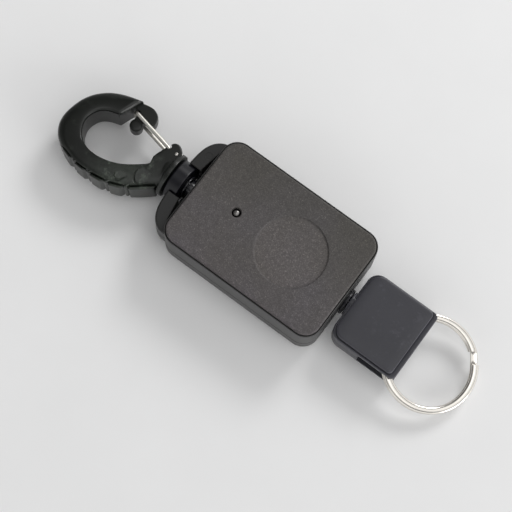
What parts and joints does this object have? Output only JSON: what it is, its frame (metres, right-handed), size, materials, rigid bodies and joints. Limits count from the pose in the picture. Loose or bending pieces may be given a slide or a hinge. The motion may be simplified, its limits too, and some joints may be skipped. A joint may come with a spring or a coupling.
{
  "type": "retractable key reel",
  "caption": "Flat rectangular retractable key reel with a swivelling wire-gate snap hook, a sprung cord, a key tag and a split ring.",
  "frame": {"origin": "centre of the case's flat rear face", "axes": "+X along the length from the snap hook to the key ring, +Y across the width towards the hook's gate, +Z out of the case's front plate"},
  "size_m": [0.1385, 0.0356, 0.0169],
  "materials": {
    "case_plastic": "fine grained, satin",
    "smooth_plastic": "smooth, semi-gloss",
    "hook_plastic": "smooth, satin",
    "black_metal": "black coated",
    "inner_plastic": "natural, unpainted",
    "steel": "plated",
    "polished_steel": "polished nickel plate",
    "spring_steel": "blued",
    "brass": "plain",
    "cord": "braided"
  },
  "bodies": {
    "case": {"front_shell": "case_plastic", "rear_shell": "case_plastic", "case_rivet": "steel", "rear_screw_1": "steel", "rear_screw_2": "steel", "rear_screw_3": "steel", "rear_screw_4": "steel", "spool_arbor": "steel", "arbor_screw": "steel", "lower_washer": "brass", "upper_washer": "brass", "cord_eyelet": "smooth_plastic", "swivel_barrel": "smooth_plastic", "cord_lead": "cord"},
    "carabiner": {"swivel_stud": "black_metal", "stud_washer": "steel", "hook_body": "hook_plastic", "gate_pin": "steel"},
    "gate": {"gate_wire": "polished_steel", "gate_spring": "spring_steel"},
    "spool": {"spool_drum": "inner_plastic", "spool_cover": "inner_plastic", "mainspring": "spring_steel", "cord_winding": "cord"},
    "cord_end": {"cord_tip": "cord", "cord_bead": "brass"},
    "tag": {"tag_top_shell": "smooth_plastic", "tag_bottom_shell": "smooth_plastic", "ring_post": "steel", "tag_screw_1": "steel", "tag_screw_2": "steel"},
    "ring": {"split_ring": "polished_steel"}
  },
  "joints": [
    {"name": "carabiner_swivel", "type": "hinge", "parent": "case", "child": "carabiner", "pos_m": [-0.03385, 0, 0.0075], "axis": [1, 0, 0], "continuous": true},
    {"name": "gate_hinge", "type": "hinge", "parent": "carabiner", "child": "gate", "pos_m": [-0.0363, 0.0046, 0.0075], "axis": [0, 0, 1], "range_deg": [0, 28], "stiffness_Nm_per_rad": 0.02, "springref_deg": -28.65, "deforming": ["gate_spring"]},
    {"name": "cord_pull", "type": "slide", "parent": "case", "child": "cord_end", "axis": [1, 0, 0], "range_m": [0, 0.6], "stiffness_N_per_m": 2.5, "springref_m": -0.2, "deforming": ["cord_tip"]},
    {"name": "spool_spin", "type": "hinge", "parent": "case", "child": "spool", "pos_m": [0.0068, 0, 0.0075], "axis": [0, 0, 1], "range_deg": [-3080, 0], "deforming": ["mainspring"]},
    {"name": "tag_twist", "type": "hinge", "parent": "cord_end", "child": "tag", "pos_m": [0.02795, 0, 0.0075], "axis": [1, 0, 0], "continuous": true},
    {"name": "ring_swing", "type": "hinge", "parent": "tag", "child": "ring", "pos_m": [0.04595, 0, 0.0075], "axis": [0, 0, 1], "range_deg": [-40, 40]}
  ],
  "couplings": [
    {"joint": "spool_spin", "follows": "cord_pull", "rad_per_m": -88.9}
  ]
}
